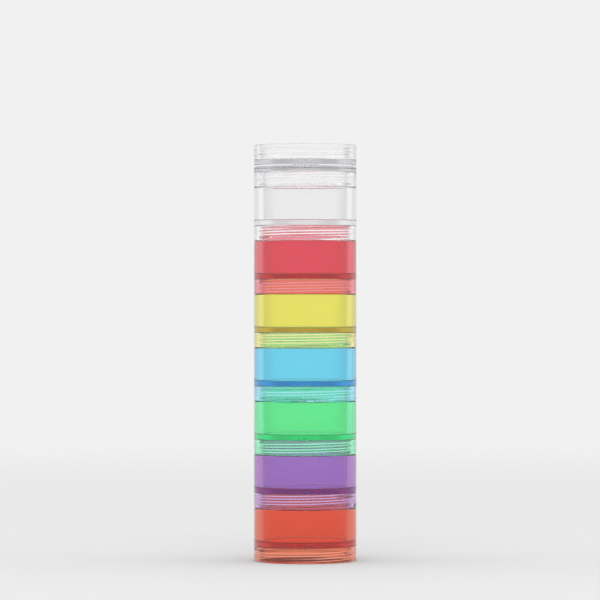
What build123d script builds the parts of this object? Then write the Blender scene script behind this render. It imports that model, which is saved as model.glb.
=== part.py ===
from build123d import *
import os

# Weekly pill organizer: a column of seven round compartments that screw into one another,
# closed by a lid, with a spare lid for a compartment that is carried by itself.
# Millimetres, +Z up. The origin is the middle of the ring that the column stands on.

# Walls of a compartment, from its chamber outwards
bore_diameter = 31.8
neck_wall = 1.1
thread_clearance = 0.15
skirt_wall = 1.85
bore_taper = 0.15

# Heights of a compartment, from its foot upwards
skirt_depth = 5.8
floor_thickness = 1.7
chamber_depth = 12.25
rim_gap = 0.3

# Lid
lid_plate = 2.1
lid_edge_round = 0.3

# Edges and corners
seam_round = 0.4
lead_in = 0.5
socket_round = 0.3
neck_root_round = 0.2
floor_round = 0.35
rim_round_share = 0.3

# Gate left by moulding, sunk in a well under each floor and lid plate
gate_well_diameter = 4.0
gate_well_depth = 0.4
gate_diameter = 1.6
gate_height = 0.25

# Colours from the foot of the column to its top, one compartment for each day of the week
colours = ["orange", "purple", "green", "blue", "yellow", "red", "clear"]

half_turn = 180

# The neck fits the socket of the next piece with the same clearance at every seam
bore_radius = bore_diameter / 2
neck_radius = bore_radius + neck_wall
socket_radius = neck_radius + thread_clearance
outer_radius = socket_radius + skirt_wall
gate_well_radius = gate_well_diameter / 2
gate_radius = gate_diameter / 2
rim_round = neck_wall * rim_round_share

floor_top = skirt_depth + floor_thickness
shoulder = floor_top + chamber_depth
neck_rim = shoulder + skirt_depth - rim_gap
lid_height = skirt_depth + lid_plate


def turned(corners):
    """Revolve an outline of (radius, height, round) corners about Z."""
    points = [(radius, 0, height) for radius, height, _ in corners]
    rounds = [rounding for _, _, rounding in corners]
    return revolve(make_face(FilletPolyline(*points, radius=rounds, close=True)), Axis.Z)


def skirt_corners():
    """The underside that compartments and lids share: gate, socket ceiling, socket wall and foot."""
    well_roof = skirt_depth + gate_well_depth
    gate_tip = well_roof - gate_height
    return [
        (0, gate_tip, 0),
        (gate_radius, gate_tip, 0),
        (gate_radius, well_roof, 0),
        (gate_well_radius, well_roof, 0),
        (gate_well_radius, skirt_depth, 0),
        (socket_radius, skirt_depth, socket_round),
        (socket_radius, lead_in, 0),
        (socket_radius + lead_in, 0, 0),
        (outer_radius, 0, seam_round),
    ]


def compartment():
    """A cup with a plain outer wall, a shoulder for the next foot, a neck and a rounded chamber."""
    return turned(
        skirt_corners()
        + [
            (outer_radius, shoulder, seam_round),
            (neck_radius, shoulder, neck_root_round),
            (neck_radius, neck_rim, rim_round),
            (bore_radius, neck_rim, rim_round),
            (bore_radius - bore_taper, floor_top, floor_round),
            (0, floor_top, 0),
        ]
    )


def screw_lid():
    """A flat plate over the same skirt and socket as a compartment's."""
    return turned(
        skirt_corners()
        + [
            (outer_radius, lid_height, lid_edge_round),
            (0, lid_height, 0),
        ]
    )


# Each foot stands on the shoulder below it, with the neck inside its socket
pieces = {}
for level, colour in enumerate(colours):
    pieces[f"{colour}_compartment"] = Pos(0, 0, level * shoulder) * compartment()

# The spare lid lies upside down on the lid, plate to plate
lid_foot = len(colours) * shoulder
pieces["lid"] = Pos(0, 0, lid_foot) * screw_lid()
spare_rim = lid_foot + lid_height + lid_height
pieces["spare_lid"] = Pos(0, 0, spare_rim) * Rot(half_turn, 0, 0) * screw_lid()

os.makedirs("parts", exist_ok=True)
for name, piece in pieces.items():
    export_step(piece, f"parts/{name}.step")
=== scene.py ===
import math
from collections import namedtuple

import bpy
from mathutils import Matrix, Vector


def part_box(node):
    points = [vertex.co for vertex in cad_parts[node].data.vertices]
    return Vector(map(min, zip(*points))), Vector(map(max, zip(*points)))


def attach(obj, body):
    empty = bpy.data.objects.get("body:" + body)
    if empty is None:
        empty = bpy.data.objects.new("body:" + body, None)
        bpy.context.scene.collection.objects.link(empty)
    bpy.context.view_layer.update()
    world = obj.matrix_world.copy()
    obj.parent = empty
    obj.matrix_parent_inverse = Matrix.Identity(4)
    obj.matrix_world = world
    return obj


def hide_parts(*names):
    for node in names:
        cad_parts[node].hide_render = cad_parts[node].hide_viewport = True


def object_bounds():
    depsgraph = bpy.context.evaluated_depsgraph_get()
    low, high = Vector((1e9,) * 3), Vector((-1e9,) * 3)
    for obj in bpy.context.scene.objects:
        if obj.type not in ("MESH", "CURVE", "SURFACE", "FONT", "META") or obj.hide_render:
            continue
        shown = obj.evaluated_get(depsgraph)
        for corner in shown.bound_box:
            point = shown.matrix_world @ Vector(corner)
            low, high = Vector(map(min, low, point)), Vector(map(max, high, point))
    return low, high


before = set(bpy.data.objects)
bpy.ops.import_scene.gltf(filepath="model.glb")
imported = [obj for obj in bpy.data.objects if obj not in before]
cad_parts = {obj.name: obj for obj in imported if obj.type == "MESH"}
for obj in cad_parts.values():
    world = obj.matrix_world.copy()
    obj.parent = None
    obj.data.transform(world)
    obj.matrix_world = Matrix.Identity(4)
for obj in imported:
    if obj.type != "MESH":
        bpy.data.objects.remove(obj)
cad_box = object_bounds()

# Compartments
# Seven like cups, one for each day, injection moulded in see-through polystyrene from one mould.
# Each has a threaded neck above its shoulder and, under its floor, a threaded skirt that screws
# down over the neck of the cup below until its foot meets that cup's shoulder.
MM = 0.001
cup_low, cup_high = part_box("orange_compartment")
outer_radius = cup_high.x / MM
shoulder = (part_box("purple_compartment")[0].z - cup_low.z) / MM
neck_rim = (cup_high.z - cup_low.z) / MM

# Sizes in millimetres, with heights counted from the foot. The foot stands a hair clear of the
# shoulder below it, so that light leaves one piece of plastic before it enters the next.
air_gap = 0.02
skirt_depth = 5.8
floor_top = 7.5
bore_radius = 15.9
bore_taper = 0.15
floor_round = 0.35
seam_round = 0.4
rim_round = 0.3
corner_round = 0.15
fine_round = 0.075

thread_pitch = 2.0
thread_depth = 0.4
neck_root_radius = 16.8
socket_root_radius = 17.35
lead_in = 0.25

# The gate, where the melt came in, is left as a stub in a well under the floor
gate_well_radius = 2.0
gate_well_depth = 0.4
gate_radius = 0.8
gate_height = 0.25

# Thickness of the plastic, with the threads taken at half their depth
body_wall = outer_radius - bore_radius
skirt_wall = outer_radius - socket_root_radius + thread_depth / 2
neck_wall = neck_root_radius - bore_radius + thread_depth / 2
floor_wall = floor_top - skirt_depth

# A corner of a turned outline in millimetres. wall is the plastic's thickness behind the surface
# there, and thread says which thread the stretch after the corner carries.
Corner = namedtuple("Corner", "radius height round wall thread", defaults=(0, 0, ""))

# The threads are single right-hand ridges of trapezoid form with flanks at 45 degrees. Their meshes
# have rows of points that climb with the ridge, so that each of its corners lies along a row.
around = 160
rows_per_pitch = 20
row_height = thread_pitch / rows_per_pitch
sides_per_row = around // rows_per_pitch

# Rows from the middle of the crest to its edge and to the foot of its flank, and the share of a turn
# over which the ridge rises at either end
crest_rows = 3
base_rows = 7
run_in_share = 0.2

# A piece has come this far round against the one below it when it meets its seat, counted in the
# rows that the thread climbs on the way
seat_rows = 7

# low and high are the heights over the seam between which the rows run, first and last the turns at
# which the ridge starts and ends, shift its lead in rows, and outward its direction from the wall
Thread = namedtuple("Thread", "low high first last shift outward")
threads = {
    "neck": Thread(low=0.3, high=5.1, first=0.5, last=2.25, shift=0, outward=1),
    "socket": Thread(
        low=0.4, high=5.5, first=-0.4, last=1.7, shift=rows_per_pitch // 2 + seat_rows, outward=-1
    ),
}


def nearest_crest(thread, row):
    """The turn of the ridge nearest to a row, and how many rows off the middle of its crest that is."""
    turn = round((row - thread.shift) / rows_per_pitch)
    return turn, abs(row - thread.shift - turn * rows_per_pitch)


def ridge(thread, row, side):
    """How far the thread stands out from its wall on a row, at a side of the circle. It rises up its
    flanks, over its run-in at both ends, and out of the level rings that bound the rows."""
    turn, off_crest = nearest_crest(thread, row)
    on_flank = (base_rows - off_crest) / (base_rows - crest_rows)
    along = turn + side / around
    from_end = min(along - thread.first, thread.last - along) / run_in_share
    height = row * row_height + side / around * thread_pitch
    from_ring = min(height - thread.low, thread.high - height) / thread_depth
    return thread.outward * thread_depth * max(min(on_flank, from_end, from_ring, 1), 0)


def rounded(corners, seam):
    """Points (radius, height, wall, thread) along an outline, with arcs at its rounded corners. A long
    stretch gets a point near each end, which keeps its shading flat."""
    arc_steps = 5
    flat_margin = 0.1
    long_stretch = 0.4
    legs = []
    for place, corner in enumerate(corners):
        here = Vector((corner.radius, corner.height))
        if not corner.round:
            legs.append([here])
            continue
        before, after = corners[place - 1], corners[place + 1]
        to_before = (Vector((before.radius, before.height)) - here).normalized()
        to_after = (Vector((after.radius, after.height)) - here).normalized()
        half_angle = to_before.angle(to_after) / 2
        middle = here + (to_before + to_after).normalized() * (corner.round / math.sin(half_angle))
        reach = corner.round / math.tan(half_angle)
        start, end = here + to_before * reach - middle, here + to_after * reach - middle
        arc = [start.slerp(end, step / arc_steps) * corner.round for step in range(arc_steps + 1)]
        legs.append([middle + spoke for spoke in arc])
    points = []
    for place, (corner, leg) in enumerate(zip(corners, legs)):
        points += [(*point, corner.wall, "") for point in leg]
        if place + 1 == len(corners):
            break
        start, end = leg[-1], legs[place + 1][0]
        length = (end - start).length
        if corner.thread:
            thread = threads[corner.thread]
            ends = [seam[corner.thread] + thread.low, seam[corner.thread] + thread.high]
            if end.y < start.y:
                ends.reverse()
            points.append((corner.radius, ends[0], corner.wall, corner.thread))
            points.append((corner.radius, ends[1], corner.wall, ""))
        elif length > long_stretch:
            for share in (flat_margin / length, 1 - flat_margin / length):
                wall = corner.wall + (corners[place + 1].wall - corner.wall) * share
                points.append((*start.lerp(end, share), wall, ""))
    return points


def turned(name, corners, seam):
    """A closed mesh of revolution about Z in metres, with its threads. seam holds the heights that
    the threads count from. Each point keeps the thickness of its wall, for the tint."""
    spots, walls, faces, corner_edges = [], [], [], set()

    def spot(radius, height, side, wall):
        """Adds a point at a side of the circle and gives its number."""
        angle = side / around * math.tau
        spots.append((radius * math.cos(angle) * MM, radius * math.sin(angle) * MM, height * MM))
        walls.append(wall)
        return len(spots) - 1

    def threaded(kind, low_ring, high_ring, radius, wall):
        """Faces in rows that climb round a wall between two level rings. A row that meets a ring
        ends in it."""
        thread = threads[kind]
        low_row, high_row = round(thread.low / row_height), round(thread.high / row_height)
        columns = []
        for side in range(around):
            climb = side / sides_per_row
            column = {}
            for row in range(math.ceil(low_row - climb), math.floor(high_row - climb) + 1):
                height = row + climb
                if height == low_row:
                    column[row] = low_ring[side]
                elif height == high_row:
                    column[row] = high_ring[side]
                else:
                    reach = radius + ridge(thread, row, side)
                    column[row] = spot(reach, seam[kind] + height * row_height, side, wall)
            columns.append(column)
        wound = []
        for side in range(around):
            other = (side + 1) % around
            left, right = columns[side], columns[other]
            if other == 0:
                right = {row - rows_per_pitch: point for row, point in right.items()}
            lowest, highest = min(left), max(right)
            wound.append((low_ring[side], low_ring[other], right[lowest], left[lowest]))
            for row in range(lowest, highest):
                wound.append((left[row], right[row], right[row + 1], left[row + 1]))
            for row in range(lowest, highest + 1):
                if nearest_crest(thread, row)[1] in (crest_rows, base_rows):
                    corner_edges.add(frozenset((left[row], right[row])))
            wound.append((left[highest], right[highest], high_ring[other], high_ring[side]))
        return wound

    points = rounded(corners, seam)
    rings = []
    for radius, height, wall, _ in points:
        if radius:
            rings.append([spot(radius, height, side, wall) for side in range(around)])
        else:
            rings.append([spot(0, height, 0, wall)] * around)
    for place, (radius, height, wall, thread) in enumerate(points[:-1]):
        ring, following = rings[place], rings[place + 1]
        if not thread:
            for side in range(around):
                other = (side + 1) % around
                faces.append((ring[side], ring[other], following[other], following[side]))
        elif height < points[place + 1][1]:
            faces += threaded(thread, ring, following, radius, wall)
        else:
            faces += [face[::-1] for face in threaded(thread, following, ring, radius, wall)]
    # At the axis, and where a row ends in a ring, a face names one point twice
    faces = [tuple(dict.fromkeys(face)) for face in faces]
    mesh = bpy.data.meshes.new(name)
    mesh.from_pydata(spots, [], faces)
    mesh.attributes.new("wall", "FLOAT", "POINT").data.foreach_set("value", walls)
    mesh.shade_smooth()
    for edge in mesh.edges:
        edge.use_edge_sharp = frozenset(edge.vertices) in corner_edges
    return mesh


def linear(code):
    """An sRGB hex colour as linear red, green and blue."""
    shares = [int(code[place : place + 2], 16) / 255 for place in (0, 2, 4)]
    return [share / 12.92 if share <= 0.04045 else ((share + 0.055) / 1.055) ** 2.4 for share in shares]


def add_node(tree, kind, settings, links=None):
    """Adds a node, sets its properties and sockets, and links its inputs to other nodes' outputs."""
    node = tree.nodes.new(kind)
    for key, value in settings.items():
        if isinstance(key, int) or key in node.inputs:
            node.inputs[key].default_value = value
        else:
            setattr(node, key, value)
    for key, source in (links or {}).items():
        tree.links.new(source, node.inputs[key])
    return node


def new_material(name):
    """A material without nodes, and its tree."""
    material = bpy.data.materials.new(name)
    material.use_nodes = True
    material.node_tree.nodes.clear()
    return material, material.node_tree


def moulded_polystyrene(name, two_walls, along_floor):
    """Clear or tinted polystyrene, injection moulded in a polished mould: glassy, with a tint that deepens
    with the thickness and a faint unevenness from the flow of the melt. two_walls is the colour that
    white shows through the front and back walls of a cup, and along_floor through a floor edge-on."""
    wall_path, floor_path = 2 * body_wall, 2 * outer_radius
    through, along = linear(two_walls), linear(along_floor)
    # What a millimetre of plastic takes away, no more than either colour allows
    taken = []
    for wide, long in zip(through, along):
        taken.append(-max(math.log(wide) / wall_path, math.log(long) / floor_path))
    most = max(taken)
    # What two walls then still lack is the tint of their surfaces, weaker where a wall is thinner
    full_tint = [math.sqrt(min(wide * math.exp(rate * wall_path), 1)) for wide, rate in zip(through, taken)]
    material, tree = new_material(name)
    wall = add_node(tree, "ShaderNodeAttribute", {"attribute_name": "wall"})
    thickness = add_node(
        tree,
        "ShaderNodeMapRange",
        {"From Min": 0, "From Max": body_wall, "To Min": 0, "To Max": 1},
        {"Value": wall.outputs["Fac"]},
    )
    tint = add_node(
        tree, "ShaderNodeGamma", {"Color": (*full_tint, 1)}, {"Gamma": thickness.outputs["Result"]}
    )
    # The flow of the melt leaves low waves a few millimetres long. Scuffs are finer in truth than
    # they are drawn here, so that they show.
    flow_size = 7 * MM
    flow_depth = 0.006 * MM
    scuff_size = 0.8 * MM
    scuff_start, scuff_full = 0.35, 0.75
    polished, scuffed = 0.003, 0.02
    place = add_node(tree, "ShaderNodeTexCoord", {})
    flow = add_node(
        tree,
        "ShaderNodeTexNoise",
        {"Scale": 1 / flow_size, "Detail": 2, "Roughness": 0.4},
        {"Vector": place.outputs["Object"]},
    )
    uneven = add_node(
        tree,
        "ShaderNodeBump",
        {"Strength": 1, "Distance": flow_depth},
        {"Height": flow.outputs["Fac"]},
    )
    scuff = add_node(
        tree,
        "ShaderNodeTexNoise",
        {"Scale": 1 / scuff_size, "Detail": 3, "Roughness": 0.6},
        {"Vector": place.outputs["Object"]},
    )
    roughness = add_node(
        tree,
        "ShaderNodeMapRange",
        {"From Min": scuff_start, "From Max": scuff_full, "To Min": polished, "To Max": scuffed},
        {"Value": scuff.outputs["Fac"]},
    )
    plastic = add_node(
        tree,
        "ShaderNodeBsdfPrincipled",
        {"IOR": 1.59, "Transmission Weight": 1},
        {
            "Base Color": tint.outputs["Color"],
            "Roughness": roughness.outputs["Result"],
            "Normal": uneven.outputs["Normal"],
        },
    )
    depth = add_node(
        tree,
        "ShaderNodeVolumeAbsorption",
        {"Color": (*[1 - rate / most for rate in taken], 1), "Density": most / MM},
    )
    add_node(
        tree,
        "ShaderNodeOutputMaterial",
        {},
        {"Surface": plastic.outputs["BSDF"], "Volume": depth.outputs["Volume"]},
    )
    return material


def skirt_corners():
    """The underside of every piece: the gate in its well, the socket with its mouth, and the foot."""
    well_roof = skirt_depth + gate_well_depth
    gate_tip = well_roof - gate_height
    return [
        Corner(0, gate_tip, 0, floor_wall),
        Corner(gate_radius, gate_tip, fine_round, floor_wall),
        Corner(gate_radius, well_roof, fine_round, floor_wall),
        Corner(gate_well_radius, well_roof, corner_round, floor_wall),
        Corner(gate_well_radius, skirt_depth, corner_round, floor_wall),
        Corner(socket_root_radius, skirt_depth, rim_round, skirt_wall, "socket"),
        Corner(socket_root_radius, lead_in + air_gap, corner_round, skirt_wall),
        Corner(socket_root_radius + lead_in, air_gap, fine_round, skirt_wall),
        Corner(outer_radius, air_gap, seam_round, skirt_wall),
    ]


# The edge of the floor has no tint on its surface, because the depth of the plastic colours it. The
# tint fades out within the blend on both sides of each of its borders.
blend_height = 0.15
cup_corners = skirt_corners() + [
    Corner(outer_radius, skirt_depth - blend_height, 0, skirt_wall),
    Corner(outer_radius, skirt_depth + blend_height, 0, 0),
    Corner(outer_radius, floor_top - blend_height, 0, 0),
    Corner(outer_radius, floor_top + blend_height, 0, body_wall),
    Corner(outer_radius, shoulder, seam_round, body_wall),
    Corner(neck_root_radius, shoulder, corner_round, neck_wall, "neck"),
    Corner(neck_root_radius, neck_rim, rim_round, neck_wall),
    Corner(bore_radius, neck_rim, rim_round, neck_wall),
    Corner(bore_radius, shoulder, 0, body_wall),
    Corner(bore_radius - bore_taper, floor_top, floor_round, body_wall),
    Corner(0, floor_top, 0, floor_wall),
]

# White through a cup's front and back walls, and along its floor, from the foot of the column to its top
tints = {
    "orange": ("ef4b27", "bc201a"),
    "purple": ("a270cc", "761a73"),
    "green": ("5df290", "16d672"),
    "blue": ("6bdbf7", "1588c6"),
    "yellow": ("f2ec5d", "a99d1a"),
    "red": ("e84253", "b81c1e"),
    "clear": ("f6f6f7", "e9e9eb"),
}
seat_turn = seat_rows / rows_per_pitch * math.tau
cup_mesh = turned("cup", cup_corners, {"socket": 0, "neck": shoulder})
for level, (colour, tint) in enumerate(tints.items()):
    node = f"{colour}_compartment"
    cup = bpy.data.objects.new(f"{colour}_cup", cup_mesh.copy())
    cup.data.transform(Matrix.Rotation(level * seat_turn, 4, "Z"))
    cup.location.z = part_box(node)[0].z
    bpy.context.collection.objects.link(cup)
    cup.data.materials.append(moulded_polystyrene(f"moulded polystyrene, {colour}", *tint))
    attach(cup, node)
    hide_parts(node)

# Lids
# Two like caps, injection moulded in clear polystyrene, whose depth is given more grey than the clear
# cup's as painted shade that darkens the plates seen edge-on. One is screwed on the top neck. The
# spare, for a cup that is carried by itself, lies on it upside down, so that its thread shows. A low
# land in the middle of each plate keeps the two plates apart.
lid_low, lid_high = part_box("lid")
lid_top = (lid_high.z - lid_low.z) / MM - air_gap
lid_edge_round = 0.3
lid_plate = lid_top - skirt_depth
land_radius = 5.0
land_height = 0.25

lid_corners = skirt_corners() + [
    Corner(outer_radius, skirt_depth - blend_height, 0, skirt_wall),
    Corner(outer_radius, skirt_depth + blend_height, 0, 0),
    Corner(outer_radius, lid_top - land_height, lid_edge_round, 0),
    Corner(land_radius, lid_top - land_height, fine_round, lid_plate),
    Corner(land_radius, lid_top, fine_round, lid_plate),
    Corner(0, lid_top, 0, lid_plate),
]
# The grey that the lid's plastic takes on along its plates is painted shade, which darkens the plates where
# they are seen edge-on
lid_polystyrene = moulded_polystyrene("moulded polystyrene, lid", "f6f6f7", "cbcdce")
lid_mesh = turned("lid", lid_corners, {"socket": 0})
spare = bpy.data.objects.new("spare_screw_lid", lid_mesh.copy())
spare.data.transform(Matrix.Rotation(math.pi, 4, "X"))
spare.location.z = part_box("spare_lid")[1].z
lid = bpy.data.objects.new("screw_lid", lid_mesh)
lid.data.transform(Matrix.Rotation(len(tints) * seat_turn, 4, "Z"))
lid.location.z = lid_low.z
for piece, node in ((lid, "lid"), (spare, "spare_lid")):
    bpy.context.collection.objects.link(piece)
    piece.data.materials.append(lid_polystyrene)
    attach(piece, node)
    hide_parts(node)

# Studio
# A round table top of matt white board inside a light tent. The tent's cloth hangs in eight bright
# panels with greyer seams between, which draw light and dark lines along the edges of clear plastic.
board_radius = 1.2
board_sides = 96
rim = []
for side in range(board_sides):
    turn = side / board_sides * math.tau
    rim.append((board_radius * math.cos(turn), board_radius * math.sin(turn), 0))
board_mesh = bpy.data.meshes.new("table_board")
board_mesh.from_pydata(rim, [], [range(board_sides)])
board = bpy.data.objects.new("table_board", board_mesh)
bpy.context.collection.objects.link(board)

# Matt board shows the soft shadow of the column, and fades out towards its edge so that no horizon
# is seen through the plastic. It is not seen from below.
fade_start, fade_end = 0.25, 1.1
matt_board, tree = new_material("matt white board")
sheet = add_node(tree, "ShaderNodeBsdfDiffuse", {"Color": (*linear("e2e2e2"), 1)})
nothing = add_node(tree, "ShaderNodeBsdfTransparent", {})
ground = add_node(tree, "ShaderNodeNewGeometry", {})
middle_distance = add_node(
    tree, "ShaderNodeVectorMath", {"operation": "LENGTH"}, {0: ground.outputs["Position"]}
)
fade = add_node(
    tree,
    "ShaderNodeMapRange",
    {"interpolation_type": "SMOOTHSTEP", "From Min": fade_start, "From Max": fade_end},
    {"Value": middle_distance.outputs["Value"]},
)
unseen = add_node(
    tree,
    "ShaderNodeMath",
    {"operation": "MAXIMUM"},
    {0: fade.outputs["Result"], 1: ground.outputs["Backfacing"]},
)
top = add_node(
    tree,
    "ShaderNodeMixShader",
    {},
    {0: unseen.outputs["Value"], 1: sheet.outputs["BSDF"], 2: nothing.outputs["BSDF"]},
)
add_node(tree, "ShaderNodeOutputMaterial", {}, {"Surface": top.outputs["Shader"]})
board_mesh.materials.append(matt_board)

# How bright the cloth is at the tent's back, sides, seams and roof, and where one passes into another:
# round the tent in radians from the middle of its back, across a panel as the cosine of its turn, and
# up and down as the sine of the angle over the table
tent_panels = 8
back_light = 0.88
side_light = 0.97
seam_light = 0.74
roof_light = 0.95
back_end, side_start = 0.25, 0.6
last_seam, plain_start = 1.0, 1.4
seam_middle, panel_edge = -1, 0.6
roof_edge, roof_start = 0.1, 0.3
ground_edge, ground_start = -0.1, -0.4

world = bpy.data.worlds.new("light tent")
world.use_nodes = True
bpy.context.scene.world = world
tree = world.node_tree
tree.nodes.clear()
way = add_node(tree, "ShaderNodeTexCoord", {})
parts = add_node(tree, "ShaderNodeSeparateXYZ", {}, {"Vector": way.outputs["Generated"]})
compass = add_node(
    tree, "ShaderNodeMath", {"operation": "ARCTAN2"}, {0: parts.outputs["X"], 1: parts.outputs["Y"]}
)
panel_turn = add_node(
    tree, "ShaderNodeMath", {"operation": "MULTIPLY", 1: tent_panels}, {0: compass.outputs["Value"]}
)
wave = add_node(tree, "ShaderNodeMath", {"operation": "COSINE"}, {0: panel_turn.outputs["Value"]})
off_back = add_node(tree, "ShaderNodeMath", {"operation": "ABSOLUTE"}, {0: compass.outputs["Value"]})
cloth = add_node(
    tree,
    "ShaderNodeMapRange",
    {"From Min": back_end, "From Max": side_start, "To Min": back_light, "To Max": side_light},
    {"Value": off_back.outputs["Value"]},
)
seams = add_node(
    tree,
    "ShaderNodeMapRange",
    {"From Min": last_seam, "From Max": plain_start, "To Min": seam_light, "To Max": side_light},
    {"Value": off_back.outputs["Value"]},
)
panels = add_node(
    tree,
    "ShaderNodeMapRange",
    {"interpolation_type": "SMOOTHSTEP", "From Min": seam_middle, "From Max": panel_edge},
    {"Value": wave.outputs["Value"], "To Min": seams.outputs["Result"], "To Max": cloth.outputs["Result"]},
)
ground_side = add_node(
    tree,
    "ShaderNodeMapRange",
    {"interpolation_type": "SMOOTHSTEP", "From Min": ground_edge, "From Max": ground_start},
    {"Value": parts.outputs["Z"]},
)
with_ground = add_node(
    tree,
    "ShaderNodeMix",
    {"B": back_light},
    {"Factor": ground_side.outputs["Result"], "A": panels.outputs["Result"]},
)
roof = add_node(
    tree,
    "ShaderNodeMapRange",
    {"interpolation_type": "SMOOTHSTEP", "From Min": roof_edge, "From Max": roof_start},
    {"Value": parts.outputs["Z"]},
)
with_roof = add_node(
    tree,
    "ShaderNodeMix",
    {"B": roof_light},
    {"Factor": roof.outputs["Result"], "A": with_ground.outputs["Result"]},
)
tent = add_node(
    tree,
    "ShaderNodeBackground",
    {"Color": (*linear("ffffff"), 1)},
    {"Strength": with_roof.outputs["Result"]},
)
add_node(tree, "ShaderNodeOutputWorld", {}, {"Surface": tent.outputs["Background"]})

# Three banks of soft light hang over the table, which draw the highlights on rims and shoulders. Each
# has its place across and along the table in metres, and its power in watts.
bank_width, bank_depth = 0.9, 0.25
bank_height = 0.95
banks = {
    "front_bank": (0, -0.75, 1.6),
    "left_bank": (-0.9, 0, 1.0),
    "right_bank": (0.9, 0, 1.0),
}
column_middle = Vector((0, 0, (cad_box[0].z + cad_box[1].z) / 2))
for name, (across, along, power) in banks.items():
    lamp = bpy.data.lights.new(name, "AREA")
    lamp.shape = "RECTANGLE"
    lamp.size, lamp.size_y = bank_width, bank_depth
    lamp.energy = power
    bank = bpy.data.objects.new(name, lamp)
    bank.location = (across, along, bank_height)
    bank.rotation_euler = (column_middle - bank.location).to_track_quat("-Z", "Y").to_euler()
    bpy.context.collection.objects.link(bank)

# Camera
# It looks level at the column from 1.3 m in front of it and a little over its middle. pixel is the size
# of a pixel at the column's axis, and the foot is measured at the column's front.
picture_width = 600
pixel = 0.371 * MM
camera_distance = 1.3
column_middle_pixel = 305.2
column_foot_pixel = 564.3
sensor_width = 36.0
far_clip = 20
front_pixel = pixel * (camera_distance - outer_radius * MM) / camera_distance

lens = bpy.data.cameras.new("camera")
lens.sensor_width = sensor_width
lens.lens = sensor_width * camera_distance / (picture_width * pixel)
lens.clip_end = far_clip
camera = bpy.data.objects.new("camera", lens)
camera.location = (
    (picture_width / 2 - column_middle_pixel) * pixel,
    -camera_distance,
    (column_foot_pixel - picture_width / 2) * front_pixel,
)
camera.rotation_euler = (math.pi / 2, 0, 0)
bpy.context.collection.objects.link(camera)

# Light crosses dozens of faces on its way through the column, so its paths may be long
plastic_bounces = 48
all_bounces = 64
scene = bpy.context.scene
scene.camera = camera
scene.view_settings.view_transform = "Standard"
scene.cycles.max_bounces = all_bounces
scene.cycles.transmission_bounces = plastic_bounces
scene.cycles.glossy_bounces = plastic_bounces
